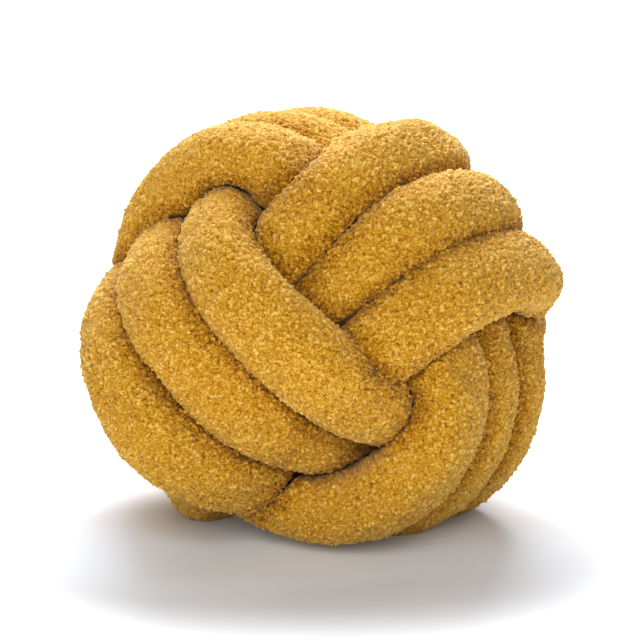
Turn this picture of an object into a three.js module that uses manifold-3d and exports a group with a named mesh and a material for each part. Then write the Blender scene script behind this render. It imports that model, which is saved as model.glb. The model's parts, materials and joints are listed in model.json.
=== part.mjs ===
// Knot cushion: one long stuffed tube of boucle cloth wound into a ball-shaped knot.
//
// The tube goes three turns round each of three axes at right angles. Each band of three turns
// lies outside on two opposite faces of the ball, and at its two ends it dives under the next
// band. The steps from turn to turn and from band to band, and the two ends of the tube, are
// buried in the heart of the knot. The cushion is therefore one filled solid: nine turns, each
// drawn as a closed ring, round a filled heart, with a small flat where the ball rests.
//
// Millimetres, +Z up. The origin is on the floor, under the middle of the cushion's box.
import * as THREE from "three";
import { mergeVertices } from "three/addons/utils/BufferGeometryUtils.js";
import Module from "manifold-3d";

// The stuffed tube's section: an oval a little squarer than an ellipse.
const TUBE_HALF_WIDTH = 27.5; // across the band
const TUBE_HALF_HEIGHT = 24.5; // out from the ball
const TUBE_FULLNESS = 2.2; // 2 is an ellipse, more is squarer

// One turn: a rounded oblong that the middle of the tube follows.
const TURN_REACH = 125; // from the heart out to an outer face
const TURN_DIVE = 85; // from the heart to an end, where the turn runs under the next band
const TURN_FULLNESS = 2.3;
const LANE = 47.5; // from one turn of a band to the next

// The filled heart, which closes the gaps between the turns behind the grooves.
const HEART_REACH = 115;
const HEART_FULLNESS = 2;

// How the knot lies, in degrees: the first band's outer face is turned to the front left and
// tipped up a little, and the ball is rolled about that face's axis.
const HEADING = -123.5;
const TIP = 3.5;
const ROLL = -47;

// Its own weight draws the soft ball down, and presses a flat where it rests.
const SAG = 0.9; // height as a share of the round ball's height
const PRESSED_FLAT = 8.5;

// Mesh steps.
const STEPS_ALONG = 54; // round a turn
const STEPS_AROUND = 16; // round the tube
const HEART_STEPS = 20;

const CLOTH_COLOUR = 0xc38d32;

// The three bands: the axis of their outer faces, the axis they run along there, and the axis
// their three turns are stacked on.
const BANDS = {
  face: { outer: "x", run: "y", stack: "z", lanes: [1, 0, -1] },
  base: { outer: "y", run: "z", stack: "x", lanes: [1, 0, -1] },
  crown: { outer: "z", run: "x", stack: "y", lanes: [-1, 0, 1] },
};

// How the outer passes of each turn depart from the even knot, as a hand-tied tube does. In
// millimetres: out is extra reach, lean is extra reach at the end it runs towards (and as much
// less at the other), shift is a sidestep from its lane, skew a slant across the band, bow a
// bend across the band at both ends, and slide a shift of its middle along its run. Girth is
// the tube's size as a share.
const PASSES = [
  { band: "face", turn: 0, side: 1, out: -1, lean: -9, shift: 1, skew: 4, bow: -3, slide: 0, girth: 0.95 },
  { band: "face", turn: 1, side: 1, out: 6, lean: 0, shift: -4, skew: 0, bow: -2, slide: -4, girth: 0.99 },
  { band: "face", turn: 2, side: 1, out: 8, lean: 9, shift: -6, skew: 1, bow: 2, slide: 1, girth: 0.99 },
  { band: "crown", turn: 0, side: 1, out: -4, lean: 0, shift: -2, skew: -1, bow: 1, slide: -3, girth: 1 },
  { band: "crown", turn: 1, side: 1, out: 2, lean: -3, shift: -1, skew: -1, bow: 1, slide: -1, girth: 1 },
  { band: "crown", turn: 2, side: 1, out: 2, lean: 1, shift: -1, skew: -1, bow: 0, slide: 1, girth: 0.97 },
  { band: "base", turn: 0, side: 1, out: 2, lean: 2, shift: 0, skew: -4, bow: -1, slide: 4, girth: 1.04 },
  { band: "base", turn: 1, side: 1, out: 4, lean: 0, shift: -1, skew: 0, bow: -3, slide: -2, girth: 1.02 },
  { band: "base", turn: 2, side: 1, out: 2, lean: -5, shift: 2, skew: 2, bow: 0, slide: -3, girth: 1 },
  { band: "base", turn: 0, side: -1, out: -8, lean: 10, shift: -1, skew: 2, bow: 1, slide: 9, girth: 1 },
  { band: "base", turn: 1, side: -1, out: 1, lean: 3, shift: -2, skew: -2, bow: 0, slide: 3, girth: 1.01 },
  { band: "base", turn: 2, side: -1, out: 2, lean: 2, shift: -2, skew: 1, bow: 1, slide: -4, girth: 1.03 },
  { band: "crown", turn: 0, side: -1, out: 3, lean: -2, shift: 2, skew: 1, bow: 0, slide: 2, girth: 1.01 },
  { band: "crown", turn: 1, side: -1, out: 0, lean: 3, shift: 1, skew: -2, bow: 1, slide: -2, girth: 0.99 },
  { band: "crown", turn: 2, side: -1, out: 2, lean: 5, shift: -1, skew: 0, bow: 1, slide: 2, girth: 1.01 },
  { band: "face", turn: 0, side: -1, out: 4, lean: 3, shift: -1, skew: 2, bow: 1, slide: 2, girth: 1 },
  { band: "face", turn: 1, side: -1, out: 0, lean: -4, shift: 2, skew: -2, bow: 0, slide: -3, girth: 1.02 },
  { band: "face", turn: 2, side: -1, out: 3, lean: 2, shift: 0, skew: 1, bow: -1, slide: 1, girth: 0.99 },
];

const wasm = await Module();
wasm.setup();

// cos or sin drawn out towards a square, for rounded oblongs of a given fullness.
function full(wave, fullness) {
  return Math.sign(wave) * Math.abs(wave) ** (2 / fullness);
}

function passOf(band, turn, side) {
  return PASSES.find((p) => p.band === band && p.turn === turn && p.side === side);
}

// The middle of the tube at an angle round one turn, and its girth there. Angle 0 is the middle
// of the outer pass on the positive side, and 180 degrees the middle of the one opposite.
function middleOfTube(band, turn, angle) {
  const { outer, run, stack, lanes } = BANDS[band];
  const facing = Math.cos(angle);
  const pass = passOf(band, turn, facing >= 0 ? 1 : -1);
  const near = Math.abs(facing); // 1 in the middle of an outer pass, 0 at an end
  const along = full(Math.sin(angle), TURN_FULLNESS);
  const point = new THREE.Vector3();
  point[outer] = (TURN_REACH + pass.out + pass.lean * along) * full(facing, TURN_FULLNESS);
  point[run] = TURN_DIVE * along + pass.slide * near;
  const sidestep = pass.shift + pass.skew * along + pass.bow * along * along;
  point[stack] = lanes[turn] * LANE + sidestep * near;
  return { point, girth: 1 + (pass.girth - 1) * near };
}

// A torus gives the ring of faces, and each of its points is moved to its place on the turn.
function turnOfTube(band, turn) {
  const RING = 2;
  const ring = new THREE.TorusGeometry(RING, 1, STEPS_AROUND, STEPS_ALONG);
  const places = ring.getAttribute("position");
  const step = 0.01;
  const stackAxis = new THREE.Vector3();
  stackAxis[BANDS[band].stack] = 1;
  for (let i = 0; i < places.count; i += 1) {
    const [x, y, z] = [places.getX(i), places.getY(i), places.getZ(i)];
    const angle = Math.atan2(y, x);
    const roll = Math.atan2(z, Math.hypot(x, y) - RING);
    const { point, girth } = middleOfTube(band, turn, angle);
    const ahead = middleOfTube(band, turn, angle + step).point;
    const behind = middleOfTube(band, turn, angle - step).point;
    const tangent = ahead.sub(behind).normalize();
    const across = stackAxis.clone().addScaledVector(tangent, -stackAxis.dot(tangent)).normalize();
    const outward = new THREE.Vector3().crossVectors(tangent, across);
    point.addScaledVector(across, girth * TUBE_HALF_WIDTH * full(Math.sin(roll), TUBE_FULLNESS));
    point.addScaledVector(outward, girth * TUBE_HALF_HEIGHT * full(Math.cos(roll), TUBE_FULLNESS));
    places.setXYZ(i, point.x, point.y, point.z);
  }
  return ring;
}

function heart() {
  const ball = new THREE.SphereGeometry(1, HEART_STEPS, HEART_STEPS / 2);
  const places = ball.getAttribute("position");
  for (let i = 0; i < places.count; i += 1) {
    const point = new THREE.Vector3().fromBufferAttribute(places, i);
    const reach = ["x", "y", "z"].reduce((sum, k) => sum + Math.abs(point[k]) ** HEART_FULLNESS, 0);
    point.multiplyScalar(HEART_REACH / reach ** (1 / HEART_FULLNESS));
    places.setXYZ(i, point.x, point.y, point.z);
  }
  return ball;
}

// The knot's own axes turned to how it lies, and drawn down by its weight.
function lieDown() {
  const rad = THREE.MathUtils.degToRad;
  const lie = new THREE.Euler(rad(ROLL), -rad(TIP), rad(HEADING), "ZYX");
  const turned = new THREE.Matrix4().makeRotationFromEuler(lie);
  return new THREE.Matrix4().makeScale(1, 1, SAG).multiply(turned);
}

function solidOf(geometry) {
  geometry.deleteAttribute("normal");
  geometry.deleteAttribute("uv");
  const merged = mergeVertices(geometry, 1e-3);
  const vertProperties = new Float32Array(merged.getAttribute("position").array);
  const triVerts = new Uint32Array(merged.index.array);
  return new wasm.Manifold(new wasm.Mesh({ numProp: 3, vertProperties, triVerts }));
}

function geometryOf(solid) {
  const { vertProperties, triVerts } = solid.getMesh();
  const geometry = new THREE.BufferGeometry();
  geometry.setAttribute("position", new THREE.BufferAttribute(vertProperties, 3));
  geometry.setIndex(new THREE.BufferAttribute(triVerts, 1));
  return geometry;
}

// The stuffing fills every pocket that the turns close off, so only the outer skin is kept.
function withoutPockets(solid) {
  const skins = solid.decompose();
  return skins.reduce((outer, skin) => (skin.volume() > outer.volume() ? skin : outer));
}

// Everything below the floor is pressed away, which leaves the flat the ball rests on.
function pressedFlat(solid) {
  const { min, max } = solid.boundingBox();
  const floor = min[2] + PRESSED_FLAT;
  const size = 2 * (max[0] - min[0]);
  const below = new THREE.BoxGeometry(size, size, size).translate(0, 0, floor - size / 2);
  return solid.subtract(solidOf(below));
}

function knot() {
  const lie = lieDown();
  let solid = solidOf(heart().applyMatrix4(lie));
  for (const band of Object.keys(BANDS)) {
    for (const turn of [0, 1, 2]) {
      solid = solid.add(solidOf(turnOfTube(band, turn).applyMatrix4(lie)));
    }
  }
  const geometry = geometryOf(withoutPockets(pressedFlat(solid)));
  geometry.computeBoundingBox();
  const { min, max } = geometry.boundingBox;
  geometry.translate(-(min.x + max.x) / 2, -(min.y + max.y) / 2, -min.z);
  geometry.computeVertexNormals();
  const cloth = new THREE.MeshStandardMaterial({ color: CLOTH_COLOUR, roughness: 1, metalness: 0 });
  const mesh = new THREE.Mesh(geometry, cloth);
  mesh.name = "wound_tube";
  return mesh;
}

const cushion = new THREE.Group();
cushion.add(knot());

export default cushion;
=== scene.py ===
"""Knot cushion: one long stuffed tube of mustard teddy boucle, wound into a ball-shaped knot.

The tube goes three turns round each of three axes at right angles. Each turn is made as a closed
ring of cloth, shaped as a stuffed tube, pressed against its neighbours where they touch, flattened
where it rests on the floor, and covered with the boucle's curled pile.
"""
import json
from math import pi, radians

import bmesh
import bpy
import numpy as np
from mathutils import Euler, Matrix, Vector, noise as lump
from mathutils.bvhtree import BVHTree

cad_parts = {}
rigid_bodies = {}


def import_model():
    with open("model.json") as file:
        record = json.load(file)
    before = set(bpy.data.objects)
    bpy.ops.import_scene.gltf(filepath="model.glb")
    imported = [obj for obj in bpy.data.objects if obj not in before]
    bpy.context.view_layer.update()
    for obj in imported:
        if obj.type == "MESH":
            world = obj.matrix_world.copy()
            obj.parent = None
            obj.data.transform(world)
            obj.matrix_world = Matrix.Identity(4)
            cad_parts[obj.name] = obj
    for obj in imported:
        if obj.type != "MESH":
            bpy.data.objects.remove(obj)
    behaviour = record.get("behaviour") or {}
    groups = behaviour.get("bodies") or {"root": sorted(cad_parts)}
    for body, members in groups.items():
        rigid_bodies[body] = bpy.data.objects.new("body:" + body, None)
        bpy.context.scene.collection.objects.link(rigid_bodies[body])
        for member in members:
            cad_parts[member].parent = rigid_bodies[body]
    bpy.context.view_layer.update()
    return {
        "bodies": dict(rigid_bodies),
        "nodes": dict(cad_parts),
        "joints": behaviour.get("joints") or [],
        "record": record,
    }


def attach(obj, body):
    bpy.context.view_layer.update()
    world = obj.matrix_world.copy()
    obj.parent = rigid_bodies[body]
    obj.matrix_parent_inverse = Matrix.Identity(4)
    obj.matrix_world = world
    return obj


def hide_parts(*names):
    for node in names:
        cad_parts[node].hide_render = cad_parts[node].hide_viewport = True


MM = 0.001

# The stuffed tube's section, without its pile: an oval a little squarer than an ellipse.
TUBE_HALF_WIDTH = 26.5
TUBE_HALF_HEIGHT = 23.0
TUBE_FULLNESS = 2.3

# One turn: a rounded oblong that the middle of the tube follows.
TURN_REACH = 124.5
TURN_DIVE = 85
TURN_FULLNESS = 2.3
LANE = 47.5

# How the knot lies on the floor, in degrees, and how far its own weight draws it down.
HEADING = -123.5
TIP = 3.5
ROLL = -47
SAG = 0.9
HEART_HEIGHT = 124.2
HEART_ASIDE = (0.6, -2.7)

# The three bands: the axis of their outer faces, the axis they run along there, the axis their
# three turns are stacked on, and each turn's lane there.
BANDS = {
    "face": (0, 1, 2, (1, 0, -1)),
    "base": (1, 2, 0, (1, 0, -1)),
    "crown": (2, 0, 1, (-1, 0, 1)),
}

# How the outer passes of each turn depart from the even knot, as a hand-tied tube does. In
# millimetres: out is extra reach, lean is extra reach at the end it runs towards (and as much
# less at the other), shift is a sidestep from its lane, skew a slant across the band, bow a
# bend across the band at both ends, hook a bend one way at one end and the other way at the
# other, slide a shift of its middle along its run, and stretch a longer run. Girth is the
# tube's size as a share, and swell its gain at the end it runs towards.
EVEN = {
    "out": 0, "lean": 0, "shift": 0, "skew": 0, "bow": 0, "hook": 0, "slide": 0, "stretch": 0,
    "girth": 1, "swell": 0,
}
PASSES = {
    ("face", 0, -1): {"out": 1, "swell": 0.06},
    ("face", 0, 1): {
        "out": -1, "lean": -16, "shift": 4, "skew": 8, "bow": -12, "hook": -10,
        "slide": 13, "stretch": 9, "swell": 0.03,
    },
    ("face", 1, 1): {
        "out": 3, "lean": -4, "shift": -4, "bow": -4, "slide": -4, "stretch": 2, "girth": 1.03,
    },
    ("face", 2, 1): {
        "out": 11, "lean": 18, "shift": -7, "skew": -6, "hook": 4, "slide": -5, "girth": 0.95,
    },
    ("crown", 0, 1): {
        "out": -5, "lean": -6, "shift": -3, "skew": 2, "bow": 16, "hook": 12,
        "slide": 8, "stretch": 12, "girth": 1.05, "swell": 0.08,
    },
    ("crown", 1, 1): {
        "out": 7, "lean": 5, "skew": -6, "bow": 8, "hook": 9, "stretch": 5, "swell": 0.06,
    },
    ("crown", 2, 1): {
        "out": 2, "lean": 1, "bow": 3, "hook": 6, "slide": 1, "stretch": 8, "girth": 1.03,
        "swell": -0.04,
    },
    ("base", 0, 1): {"out": 2, "lean": -2, "skew": -8, "hook": -2, "slide": 9, "girth": 1.15},
    ("base", 1, 1): {
        "out": 7, "lean": -7, "shift": -4, "bow": -3, "hook": -3, "stretch": 4, "girth": 1.03,
    },
    ("base", 2, 1): {
        "out": 6, "lean": -13, "skew": 2, "slide": -2, "stretch": 2, "girth": 0.98, "swell": 0.05,
    },
    ("base", 0, -1): {"out": -13, "lean": 7, "shift": 2, "skew": 4, "slide": 15, "girth": 1.13},
    ("base", 1, -1): {"out": 1, "slide": 6, "stretch": 3},
    ("base", 2, -1): {"out": 2},
    ("crown", 2, -1): {"out": 4, "slide": 4, "girth": 1.03},
}

# Mesh steps of the bare cloth, before its subdivisions.
STEPS_ALONG = 71
STEPS_AROUND = 20

# The filling, in frames and millimetres: how long the cloth takes to fill, how much thicker and
# wider a ring mostly gets, how far its cloth may move, and how far apart its slack places are.
FILL_FRAMES = 20
FILL_GAIN = 0.8
FILL_SPREAD = 2.8
FILL_LIMIT = 6
SLACK_SIZE = 30

# The cloth that is filled: its weight, how stiff it is, how hard it is blown up, and how much
# larger it is where it is slackest. A negative shrink is slack.
CLOTH = {
    "quality": 4,
    "mass": 0.3,
    "tension_stiffness": 10,
    "compression_stiffness": 10,
    "shear_stiffness": 5,
    "bending_stiffness": 0.3,
    "use_pressure": True,
    "uniform_pressure_force": 4,
    "shrink_min": -0.065,
    "shrink_max": 0.005,
}

# The cloth's uneven stuffing and clumps of pile: how wide they are and how far they rise, in
# millimetres.
LUMPS = ((44, 1.2), (19, 1.2), (4.5, 1.6))

# The boucle's curls, in millimetres: their nubs, the strands across them, how far both rise, and
# how far they drift from a regular pattern. The tallest nubs stand higher by a share.
NUB = 2.0
STRAND = 1.6
CURL_RISE = 2.4
CURL_DRIFT = 3
TALL_NUB = 1.2

# How far the cloth is drawn in along a crease between two turns, in millimetres, how softly, and
# how much painted shade darkens its colour towards the next turn, from so many times that turn's
# half width.
CREASE_DEPTH = 2.3
CREASE_BLUR = 8
GROOVE_PAINTED_SHADE = 0.4
GROOVE_REACH = 1.65

# How high above the floor the bare cloth stays, in millimetres, so that its pile touches it.
FLOOR_CLEARANCE = 0.6


def full(wave, fullness):
    """cos or sin drawn out towards a square, for rounded oblongs of a given fullness."""
    return np.sign(wave) * np.abs(wave) ** (2 / fullness)


def smooth(x, low, high):
    t = np.clip((x - low) / (high - low), 0, 1)
    return t * t * (3 - 2 * t)


def unit(v):
    return v / np.linalg.norm(v, axis=-1, keepdims=True)


def lie():
    """The matrix that turns the knot's own axes to how it lies, and draws it down by its weight."""
    turned = Euler((radians(ROLL), -radians(TIP), radians(HEADING)), "XYZ").to_matrix()
    return np.array(Matrix.Diagonal((1, 1, SAG)) @ turned)


class Turn:
    """One turn of the tube: where its middle goes, and how thick and how turned it is there."""

    SAMPLES = 360
    NEAR = 50
    CHUNK = 4000

    def __init__(self, band, number):
        self.band, self.number = band, number
        self.outer, self.run, self.stack, lanes = BANDS[band]
        self.lane = lanes[number] * LANE
        angles = np.linspace(0, 2 * pi, self.SAMPLES, endpoint=False)
        self.middle, self.across, self.outward, self.girth = self.frame(angles)

    def path(self, angle):
        """The middle of the tube and its girth at angles round the turn, in millimetres."""
        facing = np.cos(angle)
        near = smooth(np.abs(facing), 0, 0.4)
        along = full(np.sin(angle), TURN_FULLNESS)
        front = EVEN | PASSES.get((self.band, self.number, 1), {})
        back = EVEN | PASSES.get((self.band, self.number, -1), {})
        at = {name: np.where(facing >= 0, front[name], back[name]) for name in EVEN}
        sidestep = at["shift"] + (at["skew"] + (at["bow"] + at["hook"] * along) * along) * along
        reach = TURN_REACH + at["out"] + at["lean"] * along
        point = np.zeros(angle.shape + (3,))
        point[..., self.outer] = reach * full(facing, TURN_FULLNESS)
        point[..., self.run] = TURN_DIVE * along + (at["slide"] + at["stretch"] * along) * np.abs(facing)
        point[..., self.stack] = self.lane + sidestep * near
        return point, 1 + (at["girth"] - 1 + at["swell"] * along) * near

    def frame(self, angle):
        """The middle of the tube, the ways across and out of the band there, and its girth."""
        step = 0.01
        point, girth = self.path(angle)
        tangent = unit(self.path(angle + step)[0] - self.path(angle - step)[0])
        stack = np.eye(3)[self.stack]
        across = unit(stack - (tangent @ stack)[..., None] * tangent)
        return point, across, np.cross(tangent, across), girth

    def beside(self, points):
        """The indices of the points that may be inside the tube or close to it."""
        some = self.middle[::10].astype(np.float32)
        p = points.astype(np.float32)
        gap = (p**2).sum(1)[:, None] - 2 * p @ some.T + (some**2).sum(1)
        return np.flatnonzero(gap.min(1) < self.NEAR**2)

    def depth(self, points):
        """How far out of the tube's middle each point is: 0 there, and 1 at its skin."""
        found = np.empty(len(points))
        for start in range(0, len(points), self.CHUNK):
            p = points[start : start + self.CHUNK]
            gap = (p**2).sum(1)[:, None] - 2 * p @ self.middle.T + (self.middle**2).sum(1)
            k = gap.argmin(1)
            off = p - self.middle[k]
            x = np.abs((off * self.across[k]).sum(1)) / (TUBE_HALF_WIDTH * self.girth[k])
            y = np.abs((off * self.outward[k]).sum(1)) / (TUBE_HALF_HEIGHT * self.girth[k])
            full_size = (x**TUBE_FULLNESS + y**TUBE_FULLNESS) ** (1 / TUBE_FULLNESS)
            found[start : start + self.CHUNK] = full_size
        return found


def evenly(values, weights, count):
    """Places in values that share out the summed weights evenly."""
    total = np.concatenate([[0], np.cumsum(weights)])
    return np.interp(np.arange(count) / count * total[-1], total, values)


def steps_along(turn):
    """Angles round the turn, close together on its outer passes and sparse where it is hidden."""
    angles = np.linspace(0, 2 * pi, 1441)
    lengths = np.linalg.norm(np.diff(turn.path(angles)[0], axis=0), axis=1)
    shown = smooth(np.abs(np.cos(angles[:-1])), 0.25, 0.5)
    return evenly(angles, lengths * (0.2 + 0.8 * shown), STEPS_ALONG)


def steps_around():
    """Angles round the tube, close together on its outward side."""
    rolls = np.linspace(-pi, pi, 721)
    x = full(np.sin(rolls), TUBE_FULLNESS) * TUBE_HALF_WIDTH
    y = full(np.cos(rolls), TUBE_FULLNESS) * TUBE_HALF_HEIGHT
    lengths = np.hypot(np.diff(x), np.diff(y))
    shown = smooth(np.cos(rolls[:-1]), -0.75, -0.3)
    return evenly(rolls, lengths * (0.2 + 0.8 * shown), STEPS_AROUND)


def points_of(piece):
    co = np.empty(len(piece.data.vertices) * 3, np.float32)
    piece.data.vertices.foreach_get("co", co)
    return co.reshape(-1, 3).astype(float)


def move_points(piece, points):
    piece.data.vertices.foreach_set("co", points.astype(np.float32).ravel())
    piece.data.update()


def normals_of(piece):
    found = np.empty(len(piece.data.vertices) * 3, np.float32)
    piece.data.vertices.foreach_get("normal", found)
    return found.reshape(-1, 3).astype(float)


def apply_modifier(piece, name):
    bpy.ops.object.select_all(action="DESELECT")
    piece.select_set(True)
    bpy.context.view_layer.objects.active = piece
    bpy.ops.object.modifier_apply(modifier=name)


def finish_with(piece, kind, **settings):
    """Adds a modifier and applies it."""
    modifier = piece.modifiers.new(kind.lower(), kind)
    for name, value in settings.items():
        setattr(modifier, name, value)
    apply_modifier(piece, modifier.name)


def stuffed_ring(turn):
    """A ring of cloth on the turn's path, in the knot's own axes and in millimetres."""
    bpy.ops.object.select_all(action="DESELECT")
    bpy.ops.mesh.primitive_torus_add(
        major_segments=STEPS_ALONG, minor_segments=STEPS_AROUND, major_radius=2, minor_radius=1
    )
    piece = bpy.context.object
    piece.name = f"{turn.band}_turn_{turn.number + 1}"
    points = points_of(piece)
    row = np.round(np.arctan2(points[:, 1], points[:, 0]) / (2 * pi) * STEPS_ALONG).astype(int)
    roll = np.arctan2(points[:, 2], np.hypot(points[:, 0], points[:, 1]) - 2)
    column = np.round(roll / (2 * pi) * STEPS_AROUND).astype(int)
    angle = steps_along(turn)[row % STEPS_ALONG]
    rolls = steps_around()[(column + STEPS_AROUND // 2) % STEPS_AROUND]
    middle, across, outward, girth = turn.frame(angle)
    slim, pull = ((FILL_GAIN, FILL_SPREAD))
    wide = ((girth * TUBE_HALF_WIDTH - slim) * full(np.sin(rolls), TUBE_FULLNESS))[:, None]
    high = ((girth * TUBE_HALF_HEIGHT - slim) * full(np.cos(rolls), TUBE_FULLNESS))[:, None]
    move_points(piece, middle + across * wide + outward * (high - pull))
    return piece


def fill(pieces):
    """Blows the slim rings up to full, as loose cloth under pressure, a little unevenly."""
    scene = bpy.context.scene
    empty = [points_of(piece) for piece in pieces]
    for piece, points in zip(pieces, empty):
        move_points(piece, points * MM)
        slack = piece.vertex_groups.new(name="slack")
        for index, point in enumerate(points):
            slack.add([index], 0.5 + 0.5 * lump.noise(Vector(point) / SLACK_SIZE), "REPLACE")
        cloth = piece.modifiers.new("cloth", "CLOTH")
        for name, value in CLOTH.items():
            setattr(cloth.settings, name, value)
        cloth.settings.effector_weights.gravity = 0
        cloth.settings.vertex_group_shrink = "slack"
        cloth.collision_settings.use_collision = False
        cloth.point_cache.frame_start = 1
        cloth.point_cache.frame_end = FILL_FRAMES
    scene.frame_start = 1
    scene.frame_end = FILL_FRAMES
    for frame in range(1, FILL_FRAMES + 1):
        scene.frame_set(frame)
    for piece, points in zip(pieces, empty):
        apply_modifier(piece, "cloth")
        piece.vertex_groups.clear()
        moved = points_of(piece) / MM - points
        far = np.linalg.norm(moved, axis=1, keepdims=True)
        move_points(piece, points + moved * np.minimum(1, FILL_LIMIT / np.maximum(far, 0.01)))
    scene.frame_set(1)


def press_together(pieces, turns):
    """Where two turns would run into each other, their skins meet half way.

    Each point that touches another turn is marked, for the crease that runs along its edge,
    and so is how near each point comes to another turn, for the painted shade in the grooves.
    """
    for piece, turn in zip(pieces, turns):
        points = points_of(piece)
        gap = (points**2).sum(1)[:, None] - 2 * points @ turn.middle.T + (turn.middle**2).sum(1)
        core = turn.middle[gap.argmin(1)]
        size = turn.depth(points)
        share = np.ones(len(points))
        groove_painted_shade = np.zeros(len(points))
        for other in turns:
            if other is turn:
                continue
            near = other.beside(points)
            out = other.depth(points[near])
            groove_painted_shade[near] = np.maximum(groove_painted_shade[near], 1 - smooth(out, 1, GROOVE_REACH))
            met = near[out < 1]
            low, high = np.zeros(len(met)), np.ones(len(met))
            for _ in range(9):
                half = (low + high) / 2
                at = core[met] + half[:, None] * (points[met] - core[met])
                clear = other.depth(at) > half * size[met]
                low = np.where(clear, half, low)
                high = np.where(clear, high, half)
            share[met] = np.minimum(share[met], low)
        move_points(piece, core + share[:, None] * (points - core))
        touching = piece.data.attributes.new("touching", "FLOAT", "POINT")
        touching.data.foreach_set("value", (share < 1).astype(np.float32))
        # The groove attribute carries painted shade: the cloth's colour goes darker near another turn.
        groove = piece.data.attributes.new("groove", "FLOAT", "POINT")
        groove.data.foreach_set("value", groove_painted_shade.astype(np.float32))


def refine_shown(pieces):
    """Splits the faces of the cloth that the open air reaches in four, twice over."""
    faces = [[p.vertices[:] for p in piece.data.polygons] for piece in pieces]
    points = [points_of(piece) for piece in pieces]
    starts = np.cumsum([0] + [len(p) for p in points[:-1]])
    corners = [(np.array(f) + start).tolist() for f, start in zip(faces, starts)]
    tree = BVHTree.FromPolygons(np.concatenate(points).tolist(), sum(corners, []))
    ways = unit(np.random.default_rng(5).normal(size=(20, 3)))
    for piece, at in zip(pieces, points):
        seen = []
        for point, normal in zip(at, normals_of(piece)):
            start = Vector(point + normal)
            outward = map(Vector, ways[ways @ normal > 0.1])
            seen.append(any(tree.ray_cast(start, way, 500)[0] is None for way in outward))
        mesh = bmesh.new()
        mesh.from_mesh(piece.data)
        mesh.verts.ensure_lookup_table()
        shown = [f for f in mesh.faces if any(seen[v.index] for v in f.verts)]
        for _ in range(2):
            edges = list({e for f in shown for e in f.edges})
            made = bmesh.ops.subdivide_edges(mesh, edges=edges, cuts=1, use_grid_fill=True)
            faces_made = [g for g in made["geom"] if isinstance(g, bmesh.types.BMFace)]
            shown = [f for f in faces_made if len(f.verts) == 4]
        mesh.to_mesh(piece.data)
        mesh.free()


def node(tree, kind, inputs=(), **settings):
    """Adds a node. Inputs are in order: a number or tuple is a value, a socket is linked."""
    made = tree.nodes.new(kind)
    for name, value in settings.items():
        setattr(made, name, value)
    for socket, value in zip(made.inputs, inputs):
        if isinstance(value, bpy.types.NodeSocket):
            tree.links.new(value, socket)
        elif value is not None:
            socket.default_value = value
    return made


def sum_of(tree, kind, *values):
    return node(tree, "ShaderNodeMath", values, operation=kind).outputs[0]


def noise(tree, place, size, detail=0.0):
    """Soft noise from 0 to 1 whose bumps are about size millimetres across."""
    made = node(tree, "ShaderNodeTexNoise", (place,))
    made.inputs["Scale"].default_value = 1 / (size * MM)
    made.inputs["Detail"].default_value = detail
    return made


def curl_height(tree, place):
    """The height of the boucle's curls, about 0 to 1, in a geometry or a material tree."""
    drift = noise(tree, place, CURL_DRIFT, 1).outputs[1]
    far = (CURL_DRIFT * MM,) * 3
    drifted = node(tree, "ShaderNodeVectorMath", (drift, far, place), operation="MULTIPLY_ADD")
    place = drifted.outputs[0]
    cells = node(tree, "ShaderNodeTexVoronoi", (place,))
    cells.inputs["Scale"].default_value = 1 / (NUB * MM)
    distance = cells.outputs["Distance"]
    nubs = sum_of(tree, "SUBTRACT", 1.0, sum_of(tree, "MULTIPLY", distance, distance))
    chance = node(tree, "ShaderNodeSeparateXYZ", (cells.outputs["Color"],)).outputs[0]
    tall = sum_of(tree, "MULTIPLY_ADD", sum_of(tree, "POWER", chance, 3.0), TALL_NUB, 1.0)
    nubs = sum_of(tree, "MULTIPLY", nubs, tall)
    strand = sum_of(tree, "SUBTRACT", noise(tree, place, STRAND).outputs[0], 0.5)
    groove = sum_of(tree, "MULTIPLY", sum_of(tree, "ABSOLUTE", strand), 6.0)
    groove = sum_of(tree, "MINIMUM", groove, 1.0)
    return sum_of(tree, "MULTIPLY_ADD", groove, 0.5, sum_of(tree, "MULTIPLY", nubs, 0.48))


def pile():
    """Geometry nodes that raise the cloth's uneven stuffing and its curls."""
    tree = bpy.data.node_groups.new("pile", "GeometryNodeTree")
    tree.interface.new_socket("Geometry", in_out="INPUT", socket_type="NodeSocketGeometry")
    tree.interface.new_socket("Geometry", in_out="OUTPUT", socket_type="NodeSocketGeometry")
    cloth = node(tree, "NodeGroupInput").outputs[0]
    place = node(tree, "GeometryNodeInputPosition").outputs[0]
    normal = node(tree, "GeometryNodeInputNormal").outputs[0]
    store = node(tree, "GeometryNodeStoreNamedAttribute", data_type="FLOAT_VECTOR")
    tree.links.new(cloth, store.inputs["Geometry"])
    store.inputs["Name"].default_value = "rest"
    tree.links.new(place, store.inputs["Value"])
    height = 0.0
    for size, rise in LUMPS:
        height = sum_of(tree, "MULTIPLY_ADD", noise(tree, place, size).outputs[0], rise, height)
    height = sum_of(tree, "MULTIPLY_ADD", curl_height(tree, place), CURL_RISE, height)
    height = sum_of(tree, "SUBTRACT", height, 1.5 + 0.4 * CURL_RISE)
    touching = node(tree, "GeometryNodeInputNamedAttribute", data_type="FLOAT")
    touching.inputs["Name"].default_value = "touching"
    crease = node(tree, "GeometryNodeBlurAttribute", (touching.outputs[0],), data_type="FLOAT")
    crease.inputs["Iterations"].default_value = CREASE_BLUR
    height = sum_of(tree, "MULTIPLY_ADD", crease.outputs[0], -CREASE_DEPTH, height)
    rise = node(tree, "ShaderNodeVectorMath", (normal,), operation="SCALE")
    tree.links.new(sum_of(tree, "MULTIPLY", height, MM), rise.inputs["Scale"])
    raised = node(tree, "GeometryNodeSetPosition")
    tree.links.new(store.outputs[0], raised.inputs["Geometry"])
    tree.links.new(rise.outputs[0], raised.inputs["Offset"])
    tree.links.new(raised.outputs[0], node(tree, "NodeGroupOutput").inputs[0])
    return tree


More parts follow.
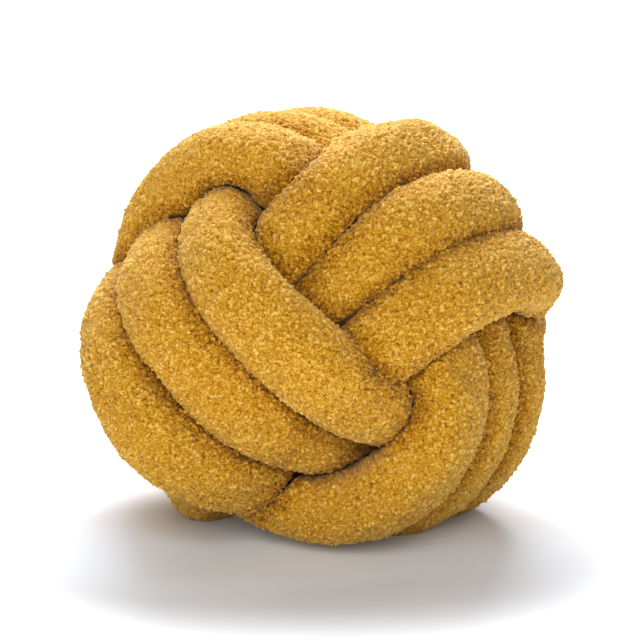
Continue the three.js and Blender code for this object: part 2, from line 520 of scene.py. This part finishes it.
def boucle_cloth():
    """Mustard boucle with random fibre tone, its colour painted with shade in the pits, highlight on the
    curl tips and shade in the grooves between two turns.
    """
    material = bpy.data.materials.new("mustard_boucle")
    material.use_nodes = True
    tree = material.node_tree
    shader = tree.nodes["Principled BSDF"]
    shader.inputs["Roughness"].default_value = 0.7
    shader.inputs["Specular IOR Level"].default_value = 0.12
    shader.inputs["Specular Tint"].default_value = (1.0, 0.8, 0.4, 1)
    shader.inputs["Sheen Weight"].default_value = 0.34
    shader.inputs["Sheen Roughness"].default_value = 0.45
    shader.inputs["Sheen Tint"].default_value = (1.0, 0.88, 0.6, 1)

    place = node(tree, "ShaderNodeAttribute", attribute_name="rest").outputs["Vector"]
    height = curl_height(tree, place)
    fibre = noise(tree, place, 0.8, 2).outputs[0]
    shade = sum_of(tree, "MULTIPLY_ADD", fibre, 0.3, height)
    even = node(tree, "ShaderNodeMapRange")
    even.inputs["From Min"].default_value = 0.25
    even.inputs["From Max"].default_value = 1.35
    # Painted shade: the colour goes darker towards the next turn, in the grooves between turns.
    groove = node(tree, "ShaderNodeAttribute", attribute_name="groove").outputs["Fac"]
    shaded = sum_of(tree, "MULTIPLY_ADD", groove, -GROOVE_PAINTED_SHADE, shade)
    tree.links.new(shaded, even.inputs["Value"])
    # The ramp paints the curl height into the colour: brown in the pits as painted shade, pale at the
    # tips as a painted highlight.
    colour = node(tree, "ShaderNodeValToRGB", (even.outputs[0],))
    colour.color_ramp.elements[0].color = (0.20, 0.070, 0.002, 1)
    colour.color_ramp.elements[1].color = (0.84, 0.53, 0.11, 1)
    colour.color_ramp.elements.new(0.37).color = (0.51, 0.222, 0.006, 1)
    colour.color_ramp.elements.new(0.75).color = (0.69, 0.365, 0.032, 1)
    tree.links.new(colour.outputs["Color"], shader.inputs["Base Color"])

    bump = node(tree, "ShaderNodeBump")
    bump.inputs["Strength"].default_value = 0.5
    bump.inputs["Distance"].default_value = 0.0016
    tree.links.new(shade, bump.inputs["Height"])
    tree.links.new(bump.outputs["Normal"], shader.inputs["Normal"])
    return material


def cushion():
    """The nine turns, filled, pressed together, laid on the floor and covered with pile."""
    turns = [Turn(band, number) for band in BANDS for number in range(3)]
    pieces = [stuffed_ring(turn) for turn in turns]
    for piece in pieces:
        finish_with(piece, "SUBSURF", levels=1, render_levels=1)
    fill(pieces)
    refine_shown(pieces)
    press_together(pieces, turns)
    knot = lie()
    aside = np.array([HEART_ASIDE[0], HEART_ASIDE[1], HEART_HEIGHT])
    cloth = boucle_cloth()
    curls = pile()
    for piece in pieces:
        points = points_of(piece) @ knot.T + aside
        points[:, 2] = np.maximum(points[:, 2], FLOOR_CLEARANCE)
        move_points(piece, points * MM)
        finish_with(piece, "NODES", node_group=curls)
        points = points_of(piece)
        points[:, 2] = np.maximum(points[:, 2], 0)
        move_points(piece, points)
        piece.data.materials.clear()
        piece.data.materials.append(cloth)
        bpy.ops.object.shade_smooth()
        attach(piece, "root")
        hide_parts("wound_tube")


def pale_floor():
    """A pale floor with a painted shadow round the cushion and painted light further out, fading into
    the white ground.
    """
    bpy.ops.object.select_all(action="DESELECT")
    bpy.ops.mesh.primitive_plane_add(size=12, location=(0, 0, 0))
    floor = bpy.context.object
    floor.name = "floor"
    material = bpy.data.materials.new("pale_floor")
    material.use_nodes = True
    tree = material.node_tree
    shader = tree.nodes["Principled BSDF"]
    shader.inputs["Roughness"].default_value = 0.9
    place = node(tree, "ShaderNodeTexCoord").outputs["Object"]
    # The floor's colour is painted by distance from the cushion: a cool tint close by against the
    # cushion's warm bounce light, then a darker ring as painted shadow.
    centre = node(tree, "ShaderNodeVectorMath", (place, (-0.01, -0.09, 0)), operation="SUBTRACT")
    oval = node(tree, "ShaderNodeVectorMath", (centre.outputs[0], (1, 1.7, 1)), operation="MULTIPLY")
    away = node(tree, "ShaderNodeVectorMath", (oval.outputs[0],), operation="LENGTH")
    painted_shadow_ring = node(tree, "ShaderNodeMapRange", (away.outputs["Value"],), interpolation_type="SMOOTHSTEP")
    painted_shadow_ring.inputs["From Min"].default_value = 0.08
    painted_shadow_ring.inputs["From Max"].default_value = 0.18
    tint = node(tree, "ShaderNodeValToRGB", (painted_shadow_ring.outputs[0],))
    tint.color_ramp.elements[0].color = (0.86, 0.93, 1.0, 1)
    tint.color_ramp.elements[1].color = (0.70, 0.71, 0.73, 1)
    tree.links.new(tint.outputs["Color"], shader.inputs["Base Color"])
    # Painted light: the floor glows more the further it is from the cushion, though it is no lamp.
    painted_glow = node(tree, "ShaderNodeMapRange", (away.outputs["Value"],), interpolation_type="SMOOTHSTEP")
    painted_glow.inputs["From Min"].default_value = 0.17
    painted_glow.inputs["From Max"].default_value = 0.36
    painted_glow.inputs["To Min"].default_value = 0.04
    painted_glow.inputs["To Max"].default_value = 0.75
    white = node(tree, "ShaderNodeCombineColor")
    for channel in white.inputs:
        tree.links.new(painted_glow.outputs[0], channel)
    tree.links.new(white.outputs[0], shader.inputs["Emission Color"])
    shader.inputs["Emission Strength"].default_value = 1.0
    floor.data.materials.append(material)


def softbox(name, place, aim, size, energy, colour):
    """An oblong lamp at a place in metres, turned towards its aim."""
    light = bpy.data.lights.new(name, "AREA")
    light.shape = "RECTANGLE"
    light.size, light.size_y = size
    light.energy = energy
    light.color = colour
    box = bpy.data.objects.new(name, light)
    box.location = place
    box.rotation_euler = (Vector(place) - Vector(aim)).to_track_quat("Z", "Y").to_euler()
    bpy.context.scene.collection.objects.link(box)


def studio_light():
    world = bpy.data.worlds.new("white_studio")
    world.use_nodes = True
    tree = world.node_tree
    room = tree.nodes["Background"]
    room.inputs["Color"].default_value = (1, 1, 1, 1)
    room.inputs["Strength"].default_value = 0.12
    backdrop = node(tree, "ShaderNodeBackground")
    backdrop.inputs["Color"].default_value = (1, 1, 1, 1)
    backdrop.inputs["Strength"].default_value = 1.1
    seen = node(tree, "ShaderNodeLightPath").outputs["Is Camera Ray"]
    either = node(tree, "ShaderNodeMixShader", (seen, room.outputs[0], backdrop.outputs[0]))
    tree.links.new(either.outputs[0], tree.nodes["World Output"].inputs["Surface"])
    bpy.context.scene.world = world
    middle = (0, 0, 0.12)
    softbox("back_light", (0, 1.3, 1.3), middle, (1.2, 1.0), 56, (0.95, 1.0, 1.08))
    softbox("top_light", (-0.1, 0.4, 1.3), middle, (1.4, 1.0), 15, (0.97, 1.0, 1.03))
    softbox("front_light", (0, -2, 1.35), middle, (1.2, 1.2), 25, (1, 1, 1))
    softbox("left_light", (-1.5, -2.2, 0.9), middle, (1.8, 1.6), 12.5, (1, 1, 1))


def camera():
    elevation = radians(15)
    distance = 2.415
    look_at = np.array([0.45, -2.7, 124.5]) * MM
    back = np.array([0, -np.cos(elevation), np.sin(elevation)])
    data = bpy.data.cameras.new("camera")
    data.sensor_width = 36
    data.lens = 216
    data.clip_end = 50
    viewer = bpy.data.objects.new("camera", data)
    viewer.location = look_at + back * distance
    viewer.rotation_euler = (pi / 2 - elevation, 0, 0)
    bpy.context.scene.collection.objects.link(viewer)
    bpy.context.scene.camera = viewer
    bpy.context.scene.view_settings.view_transform = "Standard"


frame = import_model()
camera()
cushion()
pale_floor()
studio_light()
